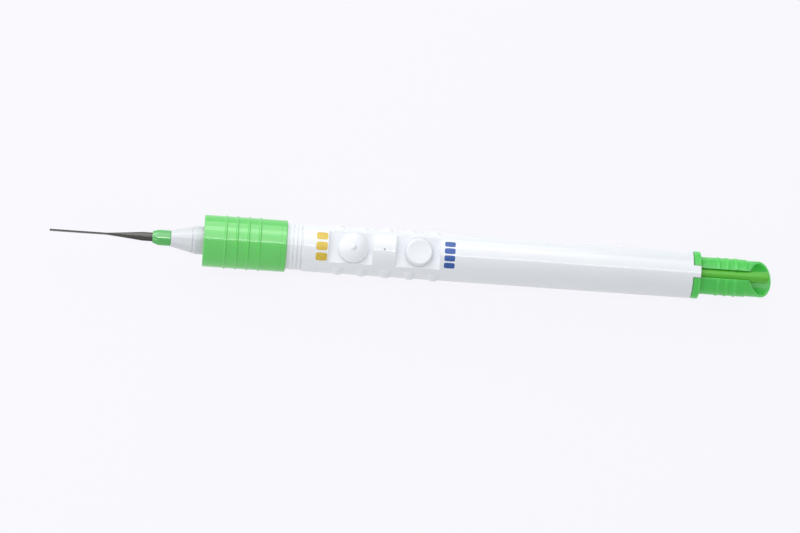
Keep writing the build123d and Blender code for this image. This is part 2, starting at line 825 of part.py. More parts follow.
# Rear port: spigot, notched flange, ribbed hose neck and a tip with a slanted mouth, slotted for the lead
spigot_radius = bore_radius - seat_fit
port_bore = spigot_radius - spigot_wall
port_ribs = [port_neck_start + port_rib_first + i * port_rib_pitch for i in range(port_rib_count)]
port_tip_radius = port_neck_radius - port_tip_step
mouth_slope = math.atan(2 * port_tip_radius / mouth_run)
mouth_tip = rear_end + mouth_edge / math.tan(mouth_slope / 2) - mouth_edge
mouth_station = mouth_tip - mouth_run / 2
blank_end = mouth_tip + overlap
with BuildPart() as rear_port:
    with BuildSketch(section):
        with BuildLine():
            Polyline(
                (blank_end, 0),
                (spigot_front, 0),
                (spigot_front, spigot_radius),
                (flange_front, spigot_radius),
                (flange_front, housing_radius - flange_edge),
                (flange_front + flange_edge, housing_radius),
                (port_neck_start - flange_edge, housing_radius),
                (port_neck_start, housing_radius - flange_edge),
                (port_neck_start, port_neck_radius),
                (port_tip_start, port_neck_radius),
                (port_tip_start + port_tip_step, port_tip_radius),
                (blank_end, port_tip_radius),
                close=True,
            )
        make_face()
    revolve(axis=centre_line)
    with BuildSketch(section):
        for rib in port_ribs:
            with BuildLine():
                ThreePointArc(
                    (rib - port_rib_width / 2, port_neck_radius),
                    (rib, port_neck_radius + port_rib_height),
                    (rib + port_rib_width / 2, port_neck_radius),
                )
                Polyline(
                    (rib + port_rib_width / 2, port_neck_radius),
                    (rib + port_rib_width / 2, port_neck_radius - port_rib_root),
                    (rib - port_rib_width / 2, port_neck_radius - port_rib_root),
                    (rib - port_rib_width / 2, port_neck_radius),
                )
            make_face()
    revolve(axis=centre_line)
    with BuildSketch(across(spigot_front)):
        Circle(port_bore)
    extrude(amount=blank_end - spigot_front, mode=Mode.SUBTRACT)
    with BuildSketch(section):
        with BuildLine():
            Polyline(
                (mouth_station - mouth_run, 2 * port_tip_radius),
                (mouth_station + mouth_run, -2 * port_tip_radius),
                (mouth_station + mouth_run, 2 * port_tip_radius),
                close=True,
            )
        make_face()
    extrude(amount=2 * port_tip_radius, both=True, mode=Mode.SUBTRACT)
    fillet(rear_port.faces().sort_by(Axis.X)[-1].edges(), mouth_edge)
    with BuildSketch(across(spigot_front)):
        with Locations((0, lead_height)):
            Circle(lead_radius + seat_fit)
            Rectangle(slot_width, housing_radius, align=(Align.CENTER, Align.MIN))
    extrude(amount=blank_end - spigot_front, mode=Mode.SUBTRACT)
    with BuildSketch(level(lead_height)):
        with Locations((flange_front, 0)):
            Rectangle(flange_thickness, tongue_width + 2 * tongue_fit, align=(Align.MIN, Align.CENTER))
    extrude(amount=housing_radius, mode=Mode.SUBTRACT)
rear_port.part.label = "rear_port"
export_step(rear_port.part, "parts/rear_port.step")
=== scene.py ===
"""Finishes, fine pieces, studio and camera for an electrosurgical pencil.

The pencil lies along +X with its buttons up. Lengths are in metres, and a size that a maker would give in
millimetres is written as a number times MM. Stations run along the pencil's axis from the front of the nozzle
collar, and heights and radii are measured from that axis.
"""
import logging
import math
from dataclasses import dataclass, field
from enum import Enum
from typing import ClassVar, Sequence

import bpy
import numpy as np
from mathutils import Matrix, Vector


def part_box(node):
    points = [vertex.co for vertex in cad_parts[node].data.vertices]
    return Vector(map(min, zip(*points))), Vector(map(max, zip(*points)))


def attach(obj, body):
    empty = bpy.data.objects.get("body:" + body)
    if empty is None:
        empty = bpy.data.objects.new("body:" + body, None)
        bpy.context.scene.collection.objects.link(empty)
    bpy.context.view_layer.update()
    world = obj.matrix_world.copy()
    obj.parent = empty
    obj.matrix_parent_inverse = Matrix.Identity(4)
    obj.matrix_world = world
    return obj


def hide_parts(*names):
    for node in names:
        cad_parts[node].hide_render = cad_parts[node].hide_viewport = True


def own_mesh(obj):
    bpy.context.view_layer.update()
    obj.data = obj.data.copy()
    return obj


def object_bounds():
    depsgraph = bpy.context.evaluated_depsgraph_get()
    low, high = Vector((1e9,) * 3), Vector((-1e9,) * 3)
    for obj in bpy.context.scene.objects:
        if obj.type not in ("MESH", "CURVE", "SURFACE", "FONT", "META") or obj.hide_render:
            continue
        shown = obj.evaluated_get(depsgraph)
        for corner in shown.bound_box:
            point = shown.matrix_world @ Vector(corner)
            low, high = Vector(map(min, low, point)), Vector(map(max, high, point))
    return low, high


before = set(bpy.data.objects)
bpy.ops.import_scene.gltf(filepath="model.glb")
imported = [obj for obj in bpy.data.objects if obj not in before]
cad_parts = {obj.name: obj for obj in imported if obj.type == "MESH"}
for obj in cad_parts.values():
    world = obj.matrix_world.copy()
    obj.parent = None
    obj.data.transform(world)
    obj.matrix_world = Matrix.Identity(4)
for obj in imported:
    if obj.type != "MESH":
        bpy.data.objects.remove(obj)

MM = 0.001
CAD_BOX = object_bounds()
LOG = logging.getLogger("pencil")

# Radius of the round barrel, which the nubs and the print follow
BARREL_RADIUS = 6.4 * MM
# Angle between two faces over which their edge stays sharp
SHARP_ANGLE = math.radians(40)
# Distance under which points are welded
WELD_STEP = 0.0001 * MM
# Least length and angle to divide by
LEAST_LENGTH = 1e-9
LEAST_ANGLE = 1e-6
# Highest level of a display colour
DISPLAY_WHITE = 255.0

Colour = tuple[float, float, float]
Triple = tuple[float, float, float]
Socket = bpy.types.NodeSocket


class Body(str, Enum):
    """Moving bodies that a piece can ride on."""

    HOUSING = "housing"
    ELECTRODE = "electrode"
    NOZZLE = "nozzle"
    CUT_KEY = "cut_key"
    COAG_KEY = "coag_key"


def srgb(red: int, green: int, blue: int) -> Colour:
    """Linear colour of a display colour.

    The sRGB curve is straight up to a share of 0.04045, and a power of 2.4 above it.

    Args:
        red, green, blue: levels on the display, 0 to 255.

    Returns:
        The three linear shares that a shader takes.
    """
    shares = np.array([red, green, blue]) / DISPLAY_WHITE
    linear = np.where(shares <= 0.04045, shares / 12.92, ((shares + 0.055) / 1.055) ** 2.4)
    return tuple(float(value) for value in linear)


def tinted(colour: Colour, factor: float) -> Colour:
    """A colour made lighter or darker by a factor, kept under white."""
    return tuple(min(1.0, share * factor) for share in colour)


def opaque(colour: Colour) -> tuple[float, float, float, float]:
    """A colour with the full cover that a colour socket asks for."""
    return (*colour, 1.0)


def full_turn(count: int) -> np.ndarray:
    """A row of angles that are spread evenly over a full turn."""
    return np.linspace(0, 2 * math.pi, count, endpoint=False)[None, :]


def upright_axis(node: str, height: float) -> Vector:
    """Place at a given height on the upright line through the middle of a CAD node."""
    low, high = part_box(node)
    return Vector(((low.x + high.x) / 2, (low.y + high.y) / 2, height))


def linked(name: str, data: bpy.types.ID) -> bpy.types.Object:
    """A new object in the scene, with given data."""
    thing = bpy.data.objects.new(name, data)
    bpy.context.scene.collection.objects.link(thing)
    return thing


@dataclass(frozen=True)
class Axis:
    """The pencil's own axis, read from the nozzle collar."""

    front: float  # X of the collar's front face, where stations start
    height: float  # Z of the axis

    @classmethod
    def of_frame(cls) -> "Axis":
        """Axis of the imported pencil."""
        low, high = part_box("front_collar")
        return cls(front=low.x, height=(low.z + high.z) / 2)

    def turned(self, stations: np.ndarray, radii: np.ndarray, angles: np.ndarray) -> np.ndarray:
        """Points round the axis.

        An angle runs from straight up towards +Y, so the side is the radius times its sine and the height is
        the radius times its cosine.

        Args:
            stations, radii, angles: where the points lie along, away from and round the axis.

        Returns:
            The places, with one more dimension than the three that are broadcast together.
        """
        stations, radii, angles = np.broadcast_arrays(stations, radii, angles)
        sides = radii * np.sin(angles)
        heights = self.height + radii * np.cos(angles)
        return np.stack([self.front + stations, sides, heights], axis=-1)


AXIS = Axis.of_frame()


@dataclass(frozen=True)
class Surface:
    """A closed surface."""

    points: np.ndarray  # places of the corners, one row each
    quads: np.ndarray  # four corner numbers per face, one of them twice in turn for a triangle

    @classmethod
    def of_grid(cls, grid: np.ndarray, ring: bool) -> "Surface":
        """Surface over a grid of points, where neighbours share a face and the last column joins the first.

        Args:
            grid: places in rows and columns.
            ring: whether the last row joins the first too.

        Returns:
            The surface, with equal points welded and its faces turned outwards.
        """
        rows, columns = grid.shape[:2]
        numbers = np.arange(rows * columns).reshape(rows, columns)
        if ring:
            numbers = np.vstack([numbers, numbers[:1]])
        numbers = np.hstack([numbers, numbers[:, :1]])
        corners = [numbers[:-1, :-1], numbers[1:, :-1], numbers[1:, 1:], numbers[:-1, 1:]]
        return cls(grid.reshape(-1, 3), np.stack(corners, axis=-1).reshape(-1, 4)).welded().outward()

    def welded(self) -> "Surface":
        """The same surface with points that share a step of the weld made one."""
        keys = np.round(self.points / WELD_STEP).astype(np.int64)
        _, first, numbers = np.unique(keys, axis=0, return_index=True, return_inverse=True)
        return Surface(self.points[first], numbers.reshape(-1)[self.quads])

    def outward(self) -> "Surface":
        """The same surface with its faces turned outwards.

        Six times the volume is the sum of the triangles' box products, with the first point as origin. Where
        it is negative, every face is turned over.
        """
        a, b, c, d = (self.points[self.quads[:, i]] - self.points[0] for i in range(4))
        volume = np.einsum("ij,ij->", a, np.cross(b, c)) + np.einsum("ij,ij->", a, np.cross(c, d))
        return self if volume > 0 else Surface(self.points, self.quads[:, ::-1])

    def joined(self, other: "Surface") -> "Surface":
        """This surface and another one as one."""
        shifted = other.quads + len(self.points)
        return Surface(np.vstack([self.points, other.points]), np.vstack([self.quads, shifted]))

    def faces(self) -> list[list[int]]:
        """Corner numbers of the faces, as quads and triangles, without faces that have shrunk to a line."""
        repeats = self.quads == np.roll(self.quads, -1, axis=1)
        count = repeats.sum(axis=1)
        triangles = self.quads[count == 1][~repeats[count == 1]].reshape(-1, 3)
        return self.quads[count == 0].tolist() + triangles.tolist()


def filleted(corners: Sequence[Triple], steps: int = 5) -> np.ndarray:
    """Closed outline whose corners are rounded by arcs.

    An arc of a given radius that touches both sides of a corner has its centre on the bisector, at the radius
    over the sine of half the inner angle. Its spokes go from the foot on one side to the foot on the other,
    each a blend of those two by sines of the angle that is left.

    Args:
        corners: two coordinates and the rounding radius of each corner, in turn.
        steps: number of pieces in an arc.

    Returns:
        The outline's points, one row each, with one more than the steps for each corner.
    """
    table = np.array(corners, float)
    places, radii = table[:, :2], table[:, 2:]
    back = np.roll(places, 1, axis=0) - places
    ahead = np.roll(places, -1, axis=0) - places
    back /= np.linalg.norm(back, axis=1, keepdims=True)
    ahead /= np.linalg.norm(ahead, axis=1, keepdims=True)
    half = np.arccos(np.clip((back * ahead).sum(axis=1, keepdims=True), -1, 1)) / 2
    bisector = back + ahead
    bisector /= np.maximum(np.linalg.norm(bisector, axis=1, keepdims=True), LEAST_LENGTH)
    centres = places + bisector * radii / np.sin(half)
    first = places + back * radii / np.tan(half) - centres
    last = places + ahead * radii / np.tan(half) - centres
    sweep = np.maximum(math.pi - 2 * half, LEAST_ANGLE)[:, None]
    part = np.linspace(0, 1, steps + 1)[None, :, None]
    spokes = np.sin((1 - part) * sweep) * first[:, None] + np.sin(part * sweep) * last[:, None]
    return (centres[:, None] + spokes / np.sin(sweep)).reshape(-1, 2)


def spun(profile: np.ndarray, middle: Vector, segments: int) -> np.ndarray:
    """Grid of points of an outline that is turned round an upright axis.

    Args:
        profile: distance from the axis and height of each point of the outline.
        middle: place on the axis at height zero.
        segments: number of points round the axis.

    Returns:
        The places, with a row for each point of the outline.
    """
    angles = full_turn(segments)
    reach, heights = profile[:, :1], np.repeat(profile[:, 1:], segments, axis=1)
    return np.stack([reach * np.cos(angles), reach * np.sin(angles), heights], axis=-1) + np.array(middle)


def cap_heights(reach: np.ndarray, half_width: float, rise: float) -> np.ndarray:
    """Heights of a round cap over its rim.

    The cap is part of a sphere, whose radius is the sum of the squares of half width and rise over twice
    the rise.

    Args:
        reach: distances from the cap's middle.
        half_width: radius of the cap's rim.
        rise: height of the cap's middle.

    Returns:
        The heights.
    """
    sphere = (half_width**2 + rise**2) / (2 * rise)
    return np.sqrt(sphere**2 - reach**2) - sphere + rise


class NodeTree:
    """A node tree, with short calls that add and join nodes."""

    def __init__(self, owner: bpy.types.Material | bpy.types.World, output: str) -> None:
        """Empties the tree and gives it an output.

        Args:
            owner: material or world that the tree belongs to.
            output: Blender's name of the output node's type.
        """
        owner.use_nodes = True
        self.nodes = owner.node_tree.nodes
        self.links = owner.node_tree.links
        self.nodes.clear()
        self.output = self.add(output)

    def add(self, kind: str, **inputs: object) -> bpy.types.Node:
        """Adds a node and sets its unlinked sockets.

        Args:
            kind: Blender's name of the node type.
            inputs: values by socket name, with spaces written as underscores.

        Returns:
            The new node.
        """
        node = self.nodes.new(kind)
        for name, value in inputs.items():
            node.inputs[name.replace("_", " ")].default_value = value
        return node

    def join(self, start: Socket, end: Socket) -> None:
        """Links an output to an input."""
        self.links.new(start, end)

    def show(self, shader: Socket) -> None:
        """Links a shader to the tree's output."""
        self.join(shader, self.output.inputs["Surface"])

    def combined(self, operation: str, *values: Socket | float) -> Socket:
        """Result of a calculation.

        Args:
            operation: Blender's name of the calculation.
            values: the outputs or numbers that go into it.

        Returns:
            The result's output.
        """
        node = self.add("ShaderNodeMath")
        node.operation = operation
        for socket, value in zip(node.inputs, values):
            if isinstance(value, Socket):
                self.join(value, socket)
            else:
                socket.default_value = value
        return node.outputs["Value"]

    def show_blend(self, share: Socket, first: Socket, second: Socket) -> None:
        """Shows a blend that goes from a first to a second shader as a share goes from 0 to 1."""
        mix = self.add("ShaderNodeMixShader")
        for socket, value in zip(mix.inputs, (share, first, second)):
            self.join(value, socket)
        self.show(mix.outputs["Shader"])

    def seen_directly(self) -> Socket:
        """Share that is 1 for rays from the camera, a gloss or glass, and 0 for the light's own bounces."""
        path = self.add("ShaderNodeLightPath").outputs
        mirrored = self.combined("MAXIMUM", path["Is Glossy Ray"], path["Is Transmission Ray"])
        return self.combined("MAXIMUM", path["Is Camera Ray"], mirrored)


@dataclass(frozen=True)
class Pattern:
    """A smooth noise."""

    size: float  # size of a blob
    octaves: int  # octaves of finer noise
    stretch: Triple = (1, 1, 1)  # factor along X, Y and Z by which blobs get shorter


class Shader(NodeTree):
    """A material's node tree round a principled surface."""

    noise_roughness: ClassVar[float] = 0.55  # weight of each finer octave of a noise
    noise_range: ClassVar[tuple[float, float]] = (0.3, 0.7)  # where most values of a noise lie
    edge_samples: ClassVar[int] = 8  # rays that feel for an edge

    def __init__(self, name: str) -> None:
        """Starts a material of a given name."""
        self.material = bpy.data.materials.new(name)
        super().__init__(self.material, "ShaderNodeOutputMaterial")
        self.surface = self.add("ShaderNodeBsdfPrincipled")
        self.show(self.surface.outputs["BSDF"])

    def feed(self, socket: str, value: Socket) -> None:
        """Links an output to a socket of the principled surface."""
        self.join(value, self.surface.inputs[socket])

    def adjust(self, **inputs: object) -> None:
        """Sets sockets of the principled surface by name, with spaces written as underscores."""
        for name, value in inputs.items():
            self.surface.inputs[name.replace("_", " ")].default_value = value

    def place(self, stretch: Triple = (1, 1, 1)) -> Socket:
        """Object coordinates, stretched by a factor along X, Y and Z."""
        mapping = self.add("ShaderNodeMapping", Scale=stretch)
        self.join(self.add("ShaderNodeTexCoord").outputs["Object"], mapping.inputs["Vector"])
        return mapping.outputs["Vector"]

    def noise(self, pattern: Pattern) -> Socket:
        """Factor output of a noise, from 0 to 1."""
        scale, rough = 1 / pattern.size, self.noise_roughness
        node = self.add("ShaderNodeTexNoise", Scale=scale, Detail=pattern.octaves, Roughness=rough)
        self.join(self.place(pattern.stretch), node.inputs["Vector"])
        return node.outputs["Fac"]

    def gloss(self, value: Socket, roughness: float, spread: float) -> None:
        """Makes the surface rougher with a noise.

        Args:
            value: the noise.
            roughness: roughness where the noise is low.
            spread: how much rougher the surface is where the noise is high.
        """
        low, high = self.noise_range
        limits = {"From_Min": low, "From_Max": high, "To_Min": roughness, "To_Max": roughness + spread}
        node = self.add("ShaderNodeMapRange", **limits)
        self.join(value, node.inputs["Value"])
        self.feed("Roughness", node.outputs["Result"])

    def colours(self, value: Socket, first: Colour, second: Colour) -> None:
        """Colours the surface from a first to a second colour as a noise goes through its range."""
        ramp = self.add("ShaderNodeValToRGB")
        for stop, position, colour in zip(ramp.color_ramp.elements, self.noise_range, (first, second)):
            stop.position = position
            stop.color = opaque(colour)
        self.join(value, ramp.inputs["Fac"])
        self.feed("Base Color", ramp.outputs["Color"])

    def relief(self, value: Socket, depth: float, edge: float = 0.0) -> None:
        """Bumps the surface by a height pattern, over edges that are softened by a small radius.

        Args:
            value: height pattern, from 0 to 1.
            depth: height of the relief.
            edge: radius that rounds sharp edges, or 0.
        """
        bump = self.add("ShaderNodeBump", Distance=depth)
        self.join(value, bump.inputs["Height"])
        if edge > 0:
            bevel = self.add("ShaderNodeBevel", Radius=edge)
            bevel.samples = self.edge_samples
            self.join(bevel.outputs["Normal"], bump.inputs["Normal"])
        self.feed("Normal", bump.outputs["Normal"])


@dataclass(frozen=True)
class Finish:
    """What every finish has."""

    name: str
    colour: Colour  # linear base colour
    roughness: float = 0.2  # lowest roughness
    spread: float = 0.06  # how much rougher the dullest places are
    depth: float = 0.0025 * MM  # depth of the relief

    def build(self) -> bpy.types.Material:
        """Makes the material."""
        shader = Shader(self.name)
        self.lay(shader)
        return shader.material

    def lay(self, shader: Shader) -> None:
        """Lays the finish's own colour, gloss and relief on a new material."""
        raise NotImplementedError


@dataclass(frozen=True)
class MouldedPlastic(Finish):
    """Moulded plastic: faint flow marks in the colour, uneven gloss and a fine spark-eroded grain."""

    mottle: float = 0.015  # share by which the colour varies
    edge: float = 0.12 * MM  # radius that softens the moulded edges
    index: float = 1.5  # refractive index, which sets how strong the gloss is
    glow: float = 0.0  # share of the light that scatters under the surface
    scatter: float = 0.6 * MM  # distance that this light travels
    flow: Pattern = Pattern(9 * MM, 3, (0.35, 1, 1))
    patches: Pattern = Pattern(2.4 * MM, 4)  # duller patches
    grain: Pattern = Pattern(0.25 * MM, 2)

    def lay(self, shader: Shader) -> None:
        """Lays flow marks, duller patches and grain."""
        deep, pale = tinted(self.colour, 1 - self.mottle), tinted(self.colour, 1 + self.mottle)
        shader.colours(shader.noise(self.flow), deep, pale)
        shader.gloss(shader.noise(self.patches), self.roughness, self.spread)
        shader.relief(shader.noise(self.grain), self.depth, self.edge)
        shader.adjust(IOR=self.index)
        if self.glow > 0:
            shader.adjust(Subsurface_Weight=self.glow, Subsurface_Scale=self.scatter)
            shader.adjust(Subsurface_Radius=(1, 1, 1))


class Lines(Enum):
    """Fine lines that a way of working leaves on metal."""

    DRAWN = Pattern(0.12 * MM, 2, (0.04, 1, 1))
    ROLLED = Pattern(0.12 * MM, 2, (1, 0.06, 1))
    TURNED = Pattern(0.12 * MM, 2, (1, 0.1, 0.1))


@dataclass(frozen=True)
class DrawnMetal(Finish):
    """Metal with fine lines and stained patches."""

    stain: Colour = field(kw_only=True)  # linear colour of the stained patches
    roughness: float = 0.3
    spread: float = 0.15
    depth: float = 0.003 * MM
    lines: Lines = Lines.DRAWN
    patches: Pattern = Pattern(1.6 * MM, 5, (0.3, 1, 1))  # stained patches

    def lay(self, shader: Shader) -> None:
        """Lays stained patches and lines."""
        shader.colours(shader.noise(self.patches), self.stain, self.colour)
        lines = shader.noise(self.lines.value)
        shader.gloss(lines, self.roughness, self.spread)
        shader.relief(lines, self.depth)
        shader.adjust(Metallic=1.0)


@dataclass(frozen=True)
class BoardLaminate(Finish):
    """Circuit board: solder mask with a glass weave that shows through it."""

    roughness: float = 0.25
    spread: float = 0.15
    depth: float = 0.006 * MM
    weave: float = 0.35 * MM  # width of one thread of the weave
    contrast: float = 0.2  # share by which threads are lighter and darker than the mask
    patches: Pattern = Pattern(1.2 * MM, 3)  # duller patches

    def lay(self, shader: Shader) -> None:
        """Lays the weave and duller patches."""
        deep, pale = (opaque(tinted(self.colour, 1 + change)) for change in (-self.contrast, self.contrast))
        threads = shader.add("ShaderNodeTexChecker", Scale=1 / self.weave, Color1=deep, Color2=pale)
        shader.join(shader.place(), threads.inputs["Vector"])
        shader.feed("Base Color", threads.outputs["Color"])
        shader.gloss(shader.noise(self.patches), self.roughness, self.spread)
        shader.relief(threads.outputs["Fac"], self.depth)


@dataclass(frozen=True)
class PrintInk(Finish):
    """Pad-printed ink: a coat with small thin spots and a slightly wavy surface."""

    roughness: float = 0.32
    spread: float = 0.16
    depth: float = 0.004 * MM
    thin: float = 0.88  # factor on the colour at thin spots
    thick: float = 1.1  # factor on the colour at thick spots
    coat: Pattern = Pattern(0.5 * MM, 4)  # spots
    waves: Pattern = Pattern(0.18 * MM, 3)  # waves of the surface

    def lay(self, shader: Shader) -> None:
        """Lays the spots and the waves."""
        coat = shader.noise(self.coat)
        shader.colours(coat, tinted(self.colour, self.thin), tinted(self.colour, self.thick))
        shader.gloss(coat, self.roughness, self.spread)
        shader.relief(shader.noise(self.waves), self.depth)


HOUSING_WHITE = MouldedPlastic("housing_white", srgb(234, 238, 243), roughness=0.12, spread=0.05)
# Painted shade: the nose cone's white is set darker than the housing's white, so that the whole nose looks
# shaded
NOSE_WHITE = MouldedPlastic("nose_white", srgb(211, 214, 219), roughness=0.16)
BUTTON_WHITE = MouldedPlastic("button_white", srgb(232, 235, 241), roughness=0.3, depth=0.004 * MM, edge=0.0)
COLLAR_GREEN = MouldedPlastic(
    "collar_green", (0.108, 0.6, 0.104), mottle=0.03, roughness=0.12, edge=0.0, index=1.65
)
SLEEVE_GREEN = MouldedPlastic(
    "sleeve_green", (0.035, 0.42, 0.05), mottle=0.04, roughness=0.06, edge=0.0, index=1.8
)
PORT_GREEN = MouldedPlastic(
    "port_green", (0.085, 0.63, 0.1), mottle=0.04, roughness=0.27, index=1.44, glow=1.0, scatter=2.4 * MM
)
LEAD_JACKET = MouldedPlastic(
    "lead_jacket", (0.094, 0.475, 0.032), mottle=0.05, roughness=0.3, edge=0.0, index=1.42
)
WIRE_INSULATION = MouldedPlastic("wire_insulation", srgb(222, 222, 218), mottle=0.05, roughness=0.4, edge=0.0)
SPACER_FILM = MouldedPlastic("spacer_film", srgb(226, 208, 150), mottle=0.06, edge=0.0)
BLADE_STEEL = DrawnMetal("blade_steel", (0.095, 0.093, 0.088), stain=(0.058, 0.056, 0.052), roughness=0.36)
DOME_STEEL = DrawnMetal("dome_steel", srgb(205, 205, 202), stain=srgb(180, 178, 172), lines=Lines.ROLLED)
SOCKET_BRASS = DrawnMetal("socket_brass", srgb(222, 194, 120), stain=srgb(196, 158, 84))
FERRULE_BRASS = DrawnMetal(
    "ferrule_brass", srgb(222, 194, 120), stain=srgb(190, 152, 80), lines=Lines.TURNED
)
BOARD_GREEN = BoardLaminate("board_laminate", srgb(38, 120, 62))
YELLOW_INK = PrintInk("yellow_ink", srgb(214, 184, 60))
BLUE_INK = PrintInk("blue_ink", srgb(38, 82, 156))

Finishes = dict[str, Finish]


class Workshop:
    """Makes objects from surfaces and keeps one material per finish."""

    def __init__(self) -> None:
        """Starts with no materials."""
        self.materials: dict[str, bpy.types.Material] = {}

    def material(self, finish: Finish) -> bpy.types.Material:
        """The finish's material, built when it is first asked for."""
        if finish.name not in self.materials:
            self.materials[finish.name] = finish.build()
        return self.materials[finish.name]

    def piece(
        self, name: str, surface: Surface, finish: Finish, body: Body,
        slot: str | None = None, stands_for: Sequence[str] = (),
    ) -> bpy.types.Object:
        """Makes a piece of the pencil.

        Args:
            name, surface, finish: what it is called, its closed surface and its finish.
            body: the body that it rides on.
            slot: the record's material slot that matches its finish; not used.
            stands_for: CAD nodes that it takes the place of.

        Returns:
            The object.
        """
        mesh = bpy.data.meshes.new(name)
        mesh.from_pydata(surface.points.tolist(), [], surface.faces())
        mesh.validate()
        mesh.shade_smooth()
        mesh.set_sharp_from_angle(angle=SHARP_ANGLE)
        mesh.materials.append(self.material(finish))
        piece = linked(name, mesh)
        piece.modifiers.new("face_weights", "WEIGHTED_NORMAL").keep_sharp = True
        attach(piece, body.value)
        if stands_for:
            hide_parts(*stands_for)
        LOG.info("%s: %d points in %s", name, len(surface.points), finish.name)
        return piece

    def dress(self, node: str, finish: Finish) -> None:
        """Gives a CAD node its finish."""
        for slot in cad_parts[node].material_slots:
            slot.material = self.material(finish)
        LOG.info("%s: dressed in %s", node, finish.name)


class SubAssembly:
    """A group of pieces that belong together."""

    finishes: ClassVar[Finishes] = {}  # finish of each CAD node that keeps its own surface

    def build(self, shop: Workshop) -> None:
        """Makes the fine pieces of the group, where it has any."""

    def dress(self, shop: Workshop) -> None:
        """Gives the nodes that keep their own surface their finishes."""
        for node, finish in self.finishes.items():
            shop.dress(node, finish)


@dataclass(frozen=True)
class Nozzle(SubAssembly):
    """The sliding nozzle collar, a thin sleeve with grip beads and an inner lip, with the nose inside it."""

    finishes: ClassVar[Finishes] = {"nose_cone": NOSE_WHITE}
    bore: float = 6.5 * MM  # radius
    lip: float = 6.28 * MM  # radius of the inner lip at the rear
    lip_length: float = 2.0 * MM
    bead_first: float = 5.9 * MM  # station of the first bead
    bead_pitch: float = 3.07 * MM
    bead_count: int = 4
    bead_width: float = 0.7 * MM  # width of a bead at its root
    bead_crown: float = 0.26 * MM  # width of a bead's top before it is rounded
    bead_height: float = 0.25 * MM
    line_offset: float = 1.4 * MM  # distance of the fine line from the rear face
    line_width: float = 0.2 * MM
    line_depth: float = 0.08 * MM
    segments: int = 256  # faces round the collar
    # Roundings of the two outer rims, the bore's rim, the beads, the fine line and the lip
    edge: float = 0.3 * MM
    bore_edge: float = 0.12 * MM
    bead_root: float = 0.06 * MM
    bead_top: float = 0.1 * MM
    line_rim: float = 0.03 * MM
    line_root: float = 0.02 * MM
    lip_edge: float = 0.1 * MM
    lip_root: float = 0.05 * MM

    def profile(self) -> np.ndarray:
        """Closed outline of the collar's wall, as stations and radii."""
        low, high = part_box("front_collar")
        length = high.x - low.x
        radius = (high.z - low.z) / 2 - self.bead_height
        corners: list[Triple] = [(0, self.bore, self.bore_edge), (0, radius, self.edge)]
        foot, crown = self.bead_width / 2, self.bead_crown / 2
        for bead in self.bead_first + self.bead_pitch * np.arange(self.bead_count):
            corners += [
                (bead - foot, radius, self.bead_root),
                (bead - crown, radius + self.bead_height, self.bead_top),
                (bead + crown, radius + self.bead_height, self.bead_top),
                (bead + foot, radius, self.bead_root),
            ]
        line, half = length - self.line_offset, self.line_width / 2
        lip_front = length - self.lip_length
        corners += [
            (line - half, radius, self.line_rim),
            (line - half, radius - self.line_depth, self.line_root),
            (line + half, radius - self.line_depth, self.line_root),
            (line + half, radius, self.line_rim),
            (length, radius, self.edge),
            (length, self.lip, self.lip_edge),
            (lip_front, self.lip, self.lip_edge),
            (lip_front, self.bore, self.lip_root),
        ]
        return filleted(corners)

    def build(self, shop: Workshop) -> None:
        """Makes the collar."""
        profile = self.profile()
        grid = AXIS.turned(profile[:, :1], profile[:, 1:], full_turn(self.segments))
        surface = Surface.of_grid(grid, ring=True)
        shop.piece("nozzle_collar", surface, COLLAR_GREEN, Body.NOZZLE, "collar_green", ("front_collar",))


